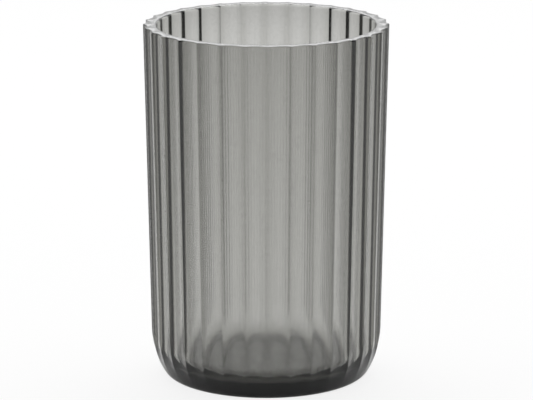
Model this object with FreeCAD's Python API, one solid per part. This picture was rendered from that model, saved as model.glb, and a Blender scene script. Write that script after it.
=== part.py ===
import FreeCAD, Part
import math
import os

# Bathroom tumbler: one moulded cup with hollow flutes outside and a smooth cavity.
# Millimetres, +Z up, origin in the middle of the foot, a flute ridge facing -Y.
# A facing angle is how far a surface faces below level: 0 on an upright side, 90 degrees on the foot.

# Overall size, over the ridges at the rim
RIM_DIAMETER = 75.2
HEIGHT = 110.0

# Outside: a drafted side, then a wide arc and a tight arc down to the foot
SIDE_DRAFT = 1.2            # degrees, each side
UPPER_CORNER_RADIUS = 25.0
LOWER_CORNER_RADIUS = 4.0
CORNER_BREAK_ANGLE = 32.0   # facing angle where the two arcs meet, in degrees

# Hollow flutes that meet in sharp ridges and fade out round the wide arc
FLUTE_COUNT = 32
FLUTE_DEPTH = 1.05

# Cavity: a drafted wall and one arc down to the floor
RIM_WALL = 4.2              # from the ridges to the cavity, at the rim
CAVITY_DRAFT = 0.7          # degrees, each side
CAVITY_CORNER_RADIUS = 5.5
FLOOR_THICKNESS = 5.4

# Rim: a level face with a bevel on each edge
RIM_OUTER_BEVEL = 0.35
RIM_INNER_BEVEL = 0.6

# Underside
FOOT_RING_WIDTH = 4.5
FOOT_RECESS_DEPTH = 1.2

# Steps between the sections that carry the outside round each arc of the corner
UPPER_STEPS = 6
LOWER_STEPS = 2

RIM_RADIUS = RIM_DIAMETER / 2
MOUTH_RADIUS = RIM_RADIUS - RIM_WALL
DRAFT = math.radians(SIDE_DRAFT)
BREAK = math.radians(CORNER_BREAK_ANGLE)
LEVEL = math.pi / 2         # facing angle of the foot
INNER_DRAFT = math.radians(CAVITY_DRAFT)
PITCH = 2 * math.pi / FLUTE_COUNT
RIDGE_START = -math.pi / 2


def polar(radius, angle, z):
    """Point at a radius and angle about the axis."""
    return FreeCAD.Vector(radius * math.cos(angle), radius * math.sin(angle), z)


def profile_point(radius, z):
    """Point of a profile in the XZ plane."""
    return FreeCAD.Vector(radius, 0, z)


def side_radius(top_radius, draft, z):
    """Radius at a height of a drafted side that has the top radius at the full height."""
    return top_radius - (HEIGHT - z) * math.tan(draft)


def on_arc(centre, radius, facing):
    """Radius and height of the point of an arc that has a facing angle."""
    return centre[0] + radius * math.cos(facing), centre[1] - radius * math.sin(facing)


def corner_centres():
    """Centres (radius, z) of the outside's wide and tight arc, each tangent to its neighbours."""
    reach = UPPER_CORNER_RADIUS - LOWER_CORNER_RADIUS
    lower_z = LOWER_CORNER_RADIUS
    upper_z = lower_z + reach * math.sin(BREAK)
    side_start = upper_z - UPPER_CORNER_RADIUS * math.sin(DRAFT)
    upper_r = side_radius(RIM_RADIUS, DRAFT, side_start) - UPPER_CORNER_RADIUS * math.cos(DRAFT)
    lower_r = upper_r + reach * math.cos(BREAK)
    return (upper_r, upper_z), (lower_r, lower_z)


def flute_section(ridge_radius, depth, z):
    """Level outline with one hollow for each flute, its ends on the ridges."""
    half = PITCH / 2
    middle = ridge_radius - depth
    pole = 2 * middle - ridge_radius * math.cos(half)
    edges = []
    for index in range(FLUTE_COUNT):
        start = RIDGE_START + index * PITCH
        curve = Part.BezierCurve()
        curve.setPoles([
            polar(ridge_radius, start, z),
            polar(pole, start + half, z),
            polar(ridge_radius, start + PITCH, z),
        ])
        edges.append(curve.toShape())
    return Part.Wire(edges)


def flute_depth(z):
    """Depth of the flutes at a height: full at the top of the wide arc, none from its foot down."""
    centre = corner_centres()[0]
    full = on_arc(centre, UPPER_CORNER_RADIUS, DRAFT)[1]
    none = on_arc(centre, UPPER_CORNER_RADIUS, BREAK)[1]
    way = min(max((z - none) / (full - none), 0), 1)
    return FLUTE_DEPTH * math.sin(way * math.pi / 2) ** 2


def corner_arc(centre, radius, top, bottom, steps):
    """Solid that carries the flutes down one arc, from its top to its bottom facing angle."""
    sections = []
    for step in range(steps + 1):
        ridge, z = on_arc(centre, radius, bottom + (top - bottom) * step / steps)
        sections.append(flute_section(ridge, flute_depth(z), z))
    return Part.makeLoft(sections, True, False)


def fluted_corner():
    """Wide arc with the fading flutes, and the plain tight arc below it."""
    upper_centre, lower_centre = corner_centres()
    upper = corner_arc(upper_centre, UPPER_CORNER_RADIUS, DRAFT, BREAK, UPPER_STEPS)
    lower = corner_arc(lower_centre, LOWER_CORNER_RADIUS, BREAK, LEVEL, LOWER_STEPS)
    return [upper, lower]


def fluted_side():
    """Straight flutes from the top of the corner to the rim, with the rim's outer edge bevelled."""
    start_r, start_z = on_arc(corner_centres()[0], UPPER_CORNER_RADIUS, DRAFT)
    edge_z = HEIGHT - RIM_OUTER_BEVEL
    return Part.makeLoft([
        flute_section(start_r, FLUTE_DEPTH, start_z),
        flute_section(side_radius(RIM_RADIUS, DRAFT, edge_z), FLUTE_DEPTH, edge_z),
        flute_section(RIM_RADIUS - RIM_OUTER_BEVEL, FLUTE_DEPTH, HEIGHT),
    ], True, True)


def cavity_corner_centre():
    """Centre (radius, z) of the arc between the cavity's wall and floor."""
    z = FLOOR_THICKNESS + CAVITY_CORNER_RADIUS
    return side_radius(MOUTH_RADIUS, INNER_DRAFT, z) - CAVITY_CORNER_RADIUS / math.cos(INNER_DRAFT), z


def turned(edges):
    """Solid of revolution about Z from edges that start and end on the axis."""
    wire = Part.Wire(edges)
    closing = Part.makeLine(wire.OrderedVertexes[-1].Point, wire.OrderedVertexes[0].Point)
    face = Part.Face(Part.Wire(wire.Edges + [closing]))
    return face.revolve(FreeCAD.Vector(0, 0, 0), FreeCAD.Vector(0, 0, 1), 360)


def cavity():
    """Inside space: floor, corner arc, drafted wall and a bevelled mouth."""
    centre = cavity_corner_centre()
    facings = [LEVEL, (LEVEL + INNER_DRAFT) / 2, INNER_DRAFT]
    corner = [profile_point(*on_arc(centre, CAVITY_CORNER_RADIUS, facing)) for facing in facings]
    bevel_z = HEIGHT - RIM_INNER_BEVEL
    wall_top = profile_point(side_radius(MOUTH_RADIUS, INNER_DRAFT, bevel_z), bevel_z)
    mouth_edge = profile_point(MOUTH_RADIUS + RIM_INNER_BEVEL, HEIGHT)
    return turned([
        Part.makeLine(profile_point(0, FLOOR_THICKNESS), corner[0]),
        Part.Arc(*corner).toShape(),
        Part.makeLine(corner[2], wall_top),
        Part.makeLine(wall_top, mouth_edge),
        Part.makeLine(mouth_edge, profile_point(0, HEIGHT)),
    ])


def foot_recess():
    """Shallow hollow under the base that leaves a ring to stand on."""
    recess_radius = corner_centres()[1][0] - FOOT_RING_WIDTH
    return Part.makeCone(recess_radius, recess_radius - FOOT_RECESS_DEPTH, FOOT_RECESS_DEPTH)


def tumbler_body():
    """The whole moulding."""
    outside = fluted_side().fuse(fluted_corner())
    return outside.cut([cavity(), foot_recess()])


os.makedirs("parts", exist_ok=True)
tumbler_body().exportStep("parts/tumbler_body.step")
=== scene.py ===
import math

import bpy
import numpy as np
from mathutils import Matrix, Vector


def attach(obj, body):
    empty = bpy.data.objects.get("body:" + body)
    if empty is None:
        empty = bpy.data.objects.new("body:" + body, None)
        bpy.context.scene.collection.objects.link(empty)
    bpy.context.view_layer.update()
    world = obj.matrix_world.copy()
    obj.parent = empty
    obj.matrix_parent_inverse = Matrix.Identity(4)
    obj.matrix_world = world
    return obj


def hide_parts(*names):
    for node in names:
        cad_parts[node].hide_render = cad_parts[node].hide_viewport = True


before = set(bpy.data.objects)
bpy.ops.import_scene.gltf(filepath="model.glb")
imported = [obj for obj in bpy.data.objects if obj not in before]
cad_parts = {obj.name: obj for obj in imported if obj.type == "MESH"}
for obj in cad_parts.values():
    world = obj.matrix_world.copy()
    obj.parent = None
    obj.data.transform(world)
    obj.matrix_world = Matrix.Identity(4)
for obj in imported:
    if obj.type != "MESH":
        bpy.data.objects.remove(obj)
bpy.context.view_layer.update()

MM = 0.001

# Sizes of the moulding, in millimetres, as the frame's solid has them
RIM_RADIUS = 37.6           # over the ridges, before their tips are eased
HEIGHT = 110.0
SIDE_DRAFT = math.radians(1.2)
UPPER_CORNER_RADIUS = 25.0
LOWER_CORNER_RADIUS = 4.0
CORNER_BREAK = math.radians(32.0)   # how far below level the outside faces where its two arcs meet
FLUTE_COUNT = 32
FLUTE_DEPTH = 1.05
RIDGE_EASE = 0.1            # share of each flute that its eased ridges take
RIM_WALL = 4.2
RIM_OUTER_EDGE = 0.35       # radius of the rounding
RIM_INNER_EDGE = 0.6        # radius of the rounding
CAVITY_DRAFT = math.radians(0.7)
FLOOR_THICKNESS = 5.4
CAVITY_CORNER_RADIUS = 5.5
FOOT_RING_WIDTH = 4.5
FOOT_RECESS_DEPTH = 1.2

# Mesh density: steps across the hollow of a flute and across half a ridge
HOLLOW_STEPS = 10
RIDGE_STEPS = 3

# Mesh density: points along each stretch of the meridian
TIGHT_ARC_POINTS = 14
WIDE_ARC_POINTS = 28
WALL_POINTS = 24            # outside and inside
OUTER_EDGE_POINTS = 8
INNER_EDGE_POINTS = 10
CAVITY_CORNER_POINTS = 20
FLOOR_POINTS = 12
RECESS_POINTS = 8
FOOT_POINTS = 4             # the slope of the recess, and the ring
END_STEP = 0.12             # mm, the first and the last step of a straight stretch

# Smoke-tinted plastic: what it absorbs, and the finish of each side
SMOKE_COLOUR = "#6c6b57"
SMOKE_DENSITY = 202.0       # per metre
SAN_IOR = 1.566
OUTSIDE_ROUGHNESS = 0.05
INSIDE_ROUGHNESS = 0.14

# Marks that the moulding core leaves inside, in millimetres, drawn coarser than real ones so that they show
GRAIN_SIZE = 0.9
GRAIN_SHADE = 0.45          # share of the light that the darkest grains stop
WALL_GRAIN = 0.2            # strength of the grain on the wall, where it is 1 on the floor and its corner
STREAK_WIDTH = 0.6
STREAK_LENGTH = 100.0
STREAK_SHADE = 0.055        # share of the light that the darkest streaks stop
MARK_FROM = 0.5             # level of the noise where a mark starts
MARK_FULL = 0.8             # level of the noise where it is darkest

# White paper, in metres; distances are from the middle of the foot
PAPER_COLOUR = "#f8f8f8"
PAPER_WIDTH = 4.0
PAPER_FRONT = -0.55
PAPER_BACK = 4.0
PAPER_Z = -0.0001           # just under the foot, so that the two faces don't coincide
PAPER_WHITE = 0.85          # share of plain white; the rest takes the lamps' light and the shadow
SHADE_FULL = 0.02           # seen through the plastic, the paper is only as bright as it is lit up to here
SHADE_END = 0.095           # and has its full share of white from here on
LIT_TO = 0.57               # that white is plain up to here
PAINTED_SHADE_FROM = 0.65             # and dimmed from here on by painted shade, which stands in for less light on the far paper
# level of that painted shade on the paper's white glow, where 1 is plain white
PAINTED_SHADE_LEVEL = 0.75

# Room: dim on the camera's side and white behind the tumbler, by the Y of the direction looked in
ROOM_LEVEL = 0.2
ROOM_DIM_TO = -0.3
ROOM_WHITE_FROM = 0.1

# Softboxes, in metres: width and height, place, and radiance where 1 is paper white
ABOVE_SIZE = (0.9, 0.6)
ABOVE_PLACE = (0, 0.45, 0.9)
ABOVE_LIGHT = 2.65
BEHIND_SIZE = (0.3, 0.5)
BEHIND_PLACE = (0, 1.3, 0.607)      # so high that the near rim reflects it and the far rim doesn't
BEHIND_LIGHT = 1.1
LIGHT_BOUNCES = 32

# The photograph's camera, fitted to the tumbler's outline, in millimetres and pixels of a 533 x 400 picture
CAMERA_AZIMUTH = math.radians(-0.61)
CAMERA_DISTANCE = 1042.26
CAMERA_HEIGHT = 306.49
CAMERA_PITCH = 0.23693      # radians, downwards
FOCAL_PIXELS = 3483.8
PICTURE_WIDTH = 533
AXIS_OFFSET_PIXELS = -0.3   # how far the tumbler's axis lies right of the picture's middle
SENSOR_WIDTH = 36.0
CAMERA_REACH = 20           # metres


def linear(hex_colour):
    """sRGB hex colour as linear RGBA."""
    srgb = np.array([int(hex_colour[i:i + 2], 16) for i in (1, 3, 5)]) / 255
    rgb = np.where(srgb <= 0.04045, srgb / 12.92, ((srgb + 0.055) / 1.055) ** 2.4)
    return (*rgb, 1.0)


def add_node(tree, kind, inputs=None, **settings):
    """One node with its settings; inputs are constant values or sockets to link from."""
    node = tree.nodes.new(kind)
    for name, value in settings.items():
        setattr(node, name, value)
    for name, value in (inputs or {}).items():
        socket = node.inputs[name]
        if isinstance(value, bpy.types.NodeSocket):
            tree.links.new(value, socket)
        else:
            socket.default_value = value
    return node


def arc(centre, radius, start, end, count):
    """Points (r, z) on an arc of a meridian; an angle is how far the surface faces below level."""
    angle = np.linspace(start, end, count)
    return np.stack([centre[0] + radius * np.cos(angle), centre[1] - radius * np.sin(angle)], axis=1)


def run(start, end, count):
    """Points (r, z) on a straight stretch of a meridian, even but for a short step at each end.

    The short steps keep smooth shading from bending the stretch next to an arc or an edge.
    """
    start, end = np.array(start), np.array(end)
    step = END_STEP / np.linalg.norm(end - start)
    way = np.concatenate([[0], np.linspace(step, 1 - step, count - 2), [1]])
    return start + way[:, None] * (end - start)


def corner_centres():
    """Centres of the wide and the tight arc of the outside corner, tangent to the side and the foot."""
    reach = UPPER_CORNER_RADIUS - LOWER_CORNER_RADIUS
    upper_z = LOWER_CORNER_RADIUS + reach * math.sin(CORNER_BREAK)
    side_z = upper_z - UPPER_CORNER_RADIUS * math.sin(SIDE_DRAFT)
    side_r = RIM_RADIUS - (HEIGHT - side_z) * math.tan(SIDE_DRAFT)
    upper_r = side_r - UPPER_CORNER_RADIUS * math.cos(SIDE_DRAFT)
    lower_r = upper_r + reach * math.cos(CORNER_BREAK)
    return np.array([upper_r, upper_z]), np.array([lower_r, LOWER_CORNER_RADIUS])


def outside_meridian():
    """Foot to rim: points (r, z), and the depth of the flutes at each.

    The depth grows from none to full up the wide arc, as the square of a quarter sine wave of the height.
    """
    upper, lower = corner_centres()
    tight = arc(lower, LOWER_CORNER_RADIUS, math.pi / 2, CORNER_BREAK, TIGHT_ARC_POINTS)
    wide = arc(upper, UPPER_CORNER_RADIUS, CORNER_BREAK, SIDE_DRAFT, WIDE_ARC_POINTS)
    edge_z = HEIGHT - RIM_OUTER_EDGE
    edge_r = RIM_RADIUS - RIM_OUTER_EDGE * math.tan(SIDE_DRAFT)
    side = run(wide[-1], (edge_r, edge_z), WALL_POINTS)
    edge = arc((edge_r - RIM_OUTER_EDGE, edge_z), RIM_OUTER_EDGE, 0, -math.pi / 2, OUTER_EDGE_POINTS)
    points = np.concatenate([tight, wide[1:], side[1:], edge[1:]])
    way = np.clip((points[:, 1] - wide[0, 1]) / (wide[-1, 1] - wide[0, 1]), 0, 1)
    return points, FLUTE_DEPTH * np.sin(way * math.pi / 2) ** 2


def cavity_meridian():
    """Inner edge of the rim to the middle of the floor: points (r, z)."""
    mouth = RIM_RADIUS - RIM_WALL
    lip_centre = (mouth + RIM_INNER_EDGE, HEIGHT - RIM_INNER_EDGE)
    lip = arc(lip_centre, -RIM_INNER_EDGE, math.pi / 2, CAVITY_DRAFT, INNER_EDGE_POINTS)
    centre_z = FLOOR_THICKNESS + CAVITY_CORNER_RADIUS
    wall_z = centre_z - CAVITY_CORNER_RADIUS * math.sin(CAVITY_DRAFT)
    wall_r = mouth - (HEIGHT - wall_z) * math.tan(CAVITY_DRAFT)
    centre_r = wall_r - CAVITY_CORNER_RADIUS * math.cos(CAVITY_DRAFT)
    wall = run(lip[-1], (wall_r, wall_z), WALL_POINTS)
    corner = arc((centre_r, centre_z), CAVITY_CORNER_RADIUS, CAVITY_DRAFT, math.pi / 2, CAVITY_CORNER_POINTS)
    floor = run(corner[-1], (0.0, FLOOR_THICKNESS), FLOOR_POINTS)
    return np.concatenate([lip, wall[1:], corner[1:], floor[1:-1]])


def underside_meridian():
    """Middle of the recess to the foot's edge: points (r, z)."""
    foot = corner_centres()[1][0]
    ring = foot - FOOT_RING_WIDTH
    recess = ring - FOOT_RECESS_DEPTH
    floor = run((0.0, FOOT_RECESS_DEPTH), (recess, FOOT_RECESS_DEPTH), RECESS_POINTS)
    slope = run((recess, FOOT_RECESS_DEPTH), (ring, 0.0), FOOT_POINTS)
    stand = run((ring, 0.0), (foot, 0.0), FOOT_POINTS)
    return np.concatenate([floor[1:], slope[1:], stand[1:-1]])


def parabola(way):
    """Shares of start, pole and end in the points of a parabola, drawn as a quadratic Bezier curve."""
    return (1 - way) ** 2, 2 * way * (1 - way), way ** 2


def flute_weights():
    """Shares of the ridge poles and the hollow poles in each point of one flute, from ridge top to ridge top.

    A flute is half a convex parabola at its first ridge, a concave parabola, and half a convex one at its
    next ridge. Two of them meet on the line between their poles, at the easing's share of the way from the
    ridge's pole.
    Columns: hollow before, first ridge, this hollow, next ridge, hollow after.
    """
    ease = RIDGE_EASE
    start, pole, end = parabola(np.linspace(0.5, 1, RIDGE_STEPS, endpoint=False)[:, None])
    none = np.zeros_like(pole)
    first = np.hstack([ease * start, (1 - ease) * (start + end) + pole, ease * end, none, none])
    start, pole, end = parabola(np.linspace(0, 1, HOLLOW_STEPS + 1)[:, None])
    none = np.zeros_like(pole)
    hollow = np.hstack([none, (1 - ease) * start, ease * (start + end) + pole, (1 - ease) * end, none])
    last = first[:0:-1, ::-1]
    return np.concatenate([first, hollow, last])


def fluted_rings(points, depth):
    """Rings of vertices through the meridian points, each with the flutes' cross-section at its depth.

    The radii of the two kinds of pole are solved for each ring, so that the hollows lie the depth inside the
    meridian, and the eased ridge tops the easing's share of the depth.
    """
    half = math.pi / FLUTE_COUNT
    ease = RIDGE_EASE
    weights = flute_weights()
    flute = np.arange(FLUTE_COUNT)[:, None]
    angle = -math.pi / 2 + half * (2 * flute + np.arange(-1, 4)[None, :])
    towards = np.stack([np.cos(angle), np.sin(angle)], axis=-1)
    hollow = np.einsum("jc,kcx->kjx", weights[:, 0::2], towards[:, 0::2]).reshape(-1, 2)
    ridge = np.einsum("jc,kcx->kjx", weights[:, 1::2], towards[:, 1::2]).reshape(-1, 2)
    sharp = points[:, 0]
    level = math.cos(half)
    system = np.array([[1 - ease / 2, ease / 2 * level], [(1 - ease) / 2 * level, (1 + ease) / 2]])
    poles = np.linalg.solve(system, np.stack([sharp - ease * depth, sharp - depth]))
    xy = poles[0][:, None, None] * ridge + poles[1][:, None, None] * hollow
    z = np.broadcast_to(points[:, 1][:, None, None], (len(points), len(ridge), 1))
    return np.concatenate([xy, z], axis=2)


def closed_mesh(name, rings, first_pole, last_pole):
    """Closed surface: quads between rings of equal count, and a fan of triangles to a pole at each end."""
    count, around, _ = rings.shape
    vertices = np.concatenate([rings.reshape(-1, 3), [first_pole], [last_pole]]) * MM
    here = np.arange(around)
    after = (here + 1) % around
    row = np.arange(count - 1)[:, None] * around
    next_row = row + around
    quads = np.stack([row + here, row + after, next_row + after, next_row + here], axis=2).reshape(-1, 4)
    first = np.stack([np.full(around, count * around), after, here], axis=1)
    top = (count - 1) * around
    last = np.stack([np.full(around, count * around + 1), top + here, top + after], axis=1)
    mesh = bpy.data.meshes.new(name)
    mesh.from_pydata(vertices, [], quads.tolist() + first.tolist() + last.tolist())
    mesh.polygons.foreach_set("use_smooth", np.ones(len(mesh.polygons), dtype=bool))
    mesh.update()
    return mesh


def tumbler():
    """The whole moulding as one closed surface: underside, fluted outside, rim, cavity and floor.

    Its attributes say where the surface is satin, and how strongly it is grained and streaked.
    """
    under = underside_meridian()
    outside, outside_depth = outside_meridian()
    inside = cavity_meridian()
    points = np.concatenate([under, outside, inside])
    depth = np.concatenate([np.zeros(len(under)), outside_depth, np.zeros(len(inside))])
    rings = fluted_rings(points, depth)
    mesh = closed_mesh("tumbler", rings, (0, 0, FOOT_RECESS_DEPTH), (0, 0, FLOOR_THICKNESS))
    around = rings.shape[1]
    level = np.append(np.repeat(points[:, 1], around), [FOOT_RECESS_DEPTH, FLOOR_THICKNESS])
    inside_ring = np.arange(len(points)) >= len(under) + len(outside)
    satin = np.append(np.repeat(inside_ring, around), [False, True])
    wall = satin & (level > FLOOR_THICKNESS + CAVITY_CORNER_RADIUS)
    shares = {"satin": satin, "grain": satin * np.where(wall, WALL_GRAIN, 1), "streak": wall}
    for name, share in shares.items():
        attribute = mesh.attributes.new(name, "FLOAT", "POINT")
        attribute.data.foreach_set("value", share.astype(np.float32))
    return mesh


def core_shade(tree):
    """Grey that the inside lets through: less in a blasted core's grains and in streaks along the draw."""
    place = add_node(tree, "ShaderNodeTexCoord").outputs["Object"]
    drawn = add_node(tree, "ShaderNodeVectorMath", {
        0: place, 1: (1, 1, STREAK_WIDTH / STREAK_LENGTH),
    }, operation="MULTIPLY").outputs[0]
    clear = 1.0
    for name, where, size, shade in (
        ("grain", place, GRAIN_SIZE, GRAIN_SHADE),
        ("streak", drawn, STREAK_WIDTH, STREAK_SHADE),
    ):
        share = add_node(tree, "ShaderNodeAttribute", attribute_name=name)
        noise = add_node(tree, "ShaderNodeTexNoise", {
            "Vector": where, "Scale": 1 / (size * MM), "Detail": 0.0,
        })
        dark = add_node(tree, "ShaderNodeMapRange", {
            "Value": noise.outputs[0],
            "From Min": MARK_FROM, "From Max": MARK_FULL, "To Min": 0.0, "To Max": shade,
        })
        stopped = add_node(tree, "ShaderNodeMath", {
            0: dark.outputs[0], 1: share.outputs["Fac"],
        }, operation="MULTIPLY")
        clear = add_node(tree, "ShaderNodeMath", {
            0: clear, 1: stopped.outputs[0],
        }, operation="SUBTRACT").outputs[0]
    return clear


def smoke_san():
    """Smoke-tinted SAN, injection moulded: clear and polished outside, so that the flutes stay sharp, and off
    a blasted core inside, so that what is seen through it is a little soft, grainy and streaked."""
    material = bpy.data.materials.new("smoke_tinted_SAN_moulded")
    material.use_nodes = True
    tree = material.node_tree
    tree.nodes.clear()
    satin = add_node(tree, "ShaderNodeAttribute", attribute_name="satin").outputs["Fac"]
    rough = add_node(tree, "ShaderNodeMapRange", {
        "Value": satin, "To Min": OUTSIDE_ROUGHNESS, "To Max": INSIDE_ROUGHNESS,
    })
    surface = add_node(tree, "ShaderNodeBsdfPrincipled", {
        "Base Color": core_shade(tree),
        "Roughness": rough.outputs["Result"],
        "IOR": SAN_IOR,
        "Transmission Weight": 1.0,
    })
    volume = add_node(tree, "ShaderNodeVolumeAbsorption", {
        "Color": linear(SMOKE_COLOUR), "Density": SMOKE_DENSITY,
    })
    output = add_node(tree, "ShaderNodeOutputMaterial")
    tree.links.new(surface.outputs["BSDF"], output.inputs["Surface"])
    tree.links.new(volume.outputs["Volume"], output.inputs["Volume"])
    return material


def white_paper():
    """White studio paper: white to the camera, white through and in the plastic away from the foot, and
    painted shade far off.
    """
    material = bpy.data.materials.new("white_studio_paper")
    material.use_nodes = True
    tree = material.node_tree
    tree.nodes.clear()
    paper = add_node(tree, "ShaderNodeBsdfDiffuse", {"Color": linear(PAPER_COLOUR)})
    path = add_node(tree, "ShaderNodeLightPath")
    place = add_node(tree, "ShaderNodeTexCoord")
    reach = add_node(tree, "ShaderNodeVectorMath", {0: place.outputs["Object"]}, operation="LENGTH")
    near = add_node(tree, "ShaderNodeMapRange", {
        "Value": reach.outputs["Value"],
        "From Min": SHADE_FULL, "From Max": SHADE_END, "To Min": 0.0, "To Max": 1.0,
    })
    # painted shade: far from the foot, the white glow is turned down, as if less light reached the paper
    # there
    far = add_node(tree, "ShaderNodeMapRange", {
        "Value": reach.outputs["Value"],
        "From Min": LIT_TO, "From Max": PAINTED_SHADE_FROM, "To Min": 1.0, "To Max": PAINTED_SHADE_LEVEL,
    }, interpolation_type="SMOOTHSTEP")
    # strength of the glow: plain white to the camera, and the painted shade of the far paper to other rays
    white = add_node(tree, "ShaderNodeMath", {
        0: path.outputs["Is Camera Ray"], 1: far.outputs[0],
    }, operation="MAXIMUM")
    glow = add_node(tree, "ShaderNodeEmission", {"Color": (1, 1, 1, 1), "Strength": white.outputs[0]})
    through = add_node(tree, "ShaderNodeMath", {
        0: path.outputs["Is Transmission Ray"], 1: path.outputs["Is Glossy Ray"],
    }, operation="MAXIMUM")
    beyond = add_node(tree, "ShaderNodeMath", {
        0: through.outputs[0], 1: near.outputs[0],
    }, operation="MULTIPLY")
    seen = add_node(tree, "ShaderNodeMath", {
        0: path.outputs["Is Camera Ray"], 1: beyond.outputs[0],
    }, operation="MAXIMUM")
    share = add_node(tree, "ShaderNodeMath", {0: seen.outputs[0], 1: PAPER_WHITE}, operation="MULTIPLY")
    mix = add_node(tree, "ShaderNodeMixShader", {
        "Fac": share.outputs[0], 1: paper.outputs[0], 2: glow.outputs[0],
    })
    output = add_node(tree, "ShaderNodeOutputMaterial")
    tree.links.new(mix.outputs["Shader"], output.inputs["Surface"])
    return material


def paper_sheet():
    """Flat rectangle just under the foot, from in front of the tumbler to far behind it."""
    half = PAPER_WIDTH / 2
    corners = [
        (-half, PAPER_FRONT, PAPER_Z), (half, PAPER_FRONT, PAPER_Z),
        (half, PAPER_BACK, PAPER_Z), (-half, PAPER_BACK, PAPER_Z),
    ]
    mesh = bpy.data.meshes.new("studio_paper")
    mesh.from_pydata(corners, [], [(0, 1, 2, 3)])
    return mesh


def add_object(name, mesh, material):
    """Object of one mesh and one material, at the origin."""
    added = bpy.data.objects.new(name, mesh)
    added.data.materials.append(material)
    bpy.context.scene.collection.objects.link(added)
    return added


def studio_room():
    """World that is white behind the tumbler and to the camera, and dim on the camera's side."""
    world = bpy.data.worlds.new("studio")
    world.use_nodes = True
    tree = world.node_tree
    background = tree.nodes["Background"]
    direction = add_node(tree, "ShaderNodeTexCoord")
    axes = add_node(tree, "ShaderNodeSeparateXYZ", {0: direction.outputs["Generated"]})
    level = add_node(tree, "ShaderNodeMapRange", {
        "Value": axes.outputs["Y"],
        "From Min": ROOM_DIM_TO, "From Max": ROOM_WHITE_FROM, "To Min": ROOM_LEVEL, "To Max": 1.0,
    }, interpolation_type="SMOOTHSTEP")
    path = add_node(tree, "ShaderNodeLightPath")
    shown = add_node(tree, "ShaderNodeMath", {
        0: level.outputs["Result"], 1: path.outputs["Is Camera Ray"],
    }, operation="MAXIMUM")
    tree.links.new(shown.outputs[0], background.inputs["Strength"])
    background.inputs["Color"].default_value = (1, 1, 1, 1)
    return world


def softbox(name, size, place, radiance):
    """Rectangular lamp that faces the tumbler's middle; its power is pi times its area times its radiance."""
    width, height = size
    data = bpy.data.lights.new(name, "AREA")
    data.shape = "RECTANGLE"
    data.size = width
    data.size_y = height
    data.energy = math.pi * width * height * radiance
    lamp = bpy.data.objects.new(name, data)
    lamp.location = place
    towards = Vector((0, 0, HEIGHT / 2 * MM)) - Vector(place)
    lamp.rotation_euler = towards.to_track_quat("-Z", "Y").to_euler()
    bpy.context.scene.collection.objects.link(lamp)


def photograph_camera():
    """Camera at the photograph's place, angle and focal length."""
    data = bpy.data.cameras.new("camera")
    data.sensor_width = SENSOR_WIDTH
    data.lens = FOCAL_PIXELS / PICTURE_WIDTH * SENSOR_WIDTH
    data.shift_x = -AXIS_OFFSET_PIXELS / PICTURE_WIDTH
    data.clip_end = CAMERA_REACH
    placed = bpy.data.objects.new("camera", data)
    bpy.context.scene.collection.objects.link(placed)
    placed.location = (
        CAMERA_DISTANCE * math.sin(CAMERA_AZIMUTH) * MM,
        -CAMERA_DISTANCE * math.cos(CAMERA_AZIMUTH) * MM,
        CAMERA_HEIGHT * MM,
    )
    placed.rotation_euler = (math.pi / 2 - CAMERA_PITCH, 0, CAMERA_AZIMUTH)
    return placed


piece = add_object("tumbler", tumbler(), smoke_san())
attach(piece, "root")
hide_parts("tumbler_body")

floor = add_object("studio_paper", paper_sheet(), white_paper())

bpy.context.scene.world = studio_room()
softbox("softbox_above", ABOVE_SIZE, ABOVE_PLACE, ABOVE_LIGHT)
softbox("softbox_behind", BEHIND_SIZE, BEHIND_PLACE, BEHIND_LIGHT)
camera = photograph_camera()
bpy.context.scene.camera = camera

scene = bpy.context.scene
scene.view_settings.view_transform = "Standard"
scene.cycles.max_bounces = LIGHT_BOUNCES
scene.cycles.transmission_bounces = LIGHT_BOUNCES
scene.cycles.glossy_bounces = LIGHT_BOUNCES
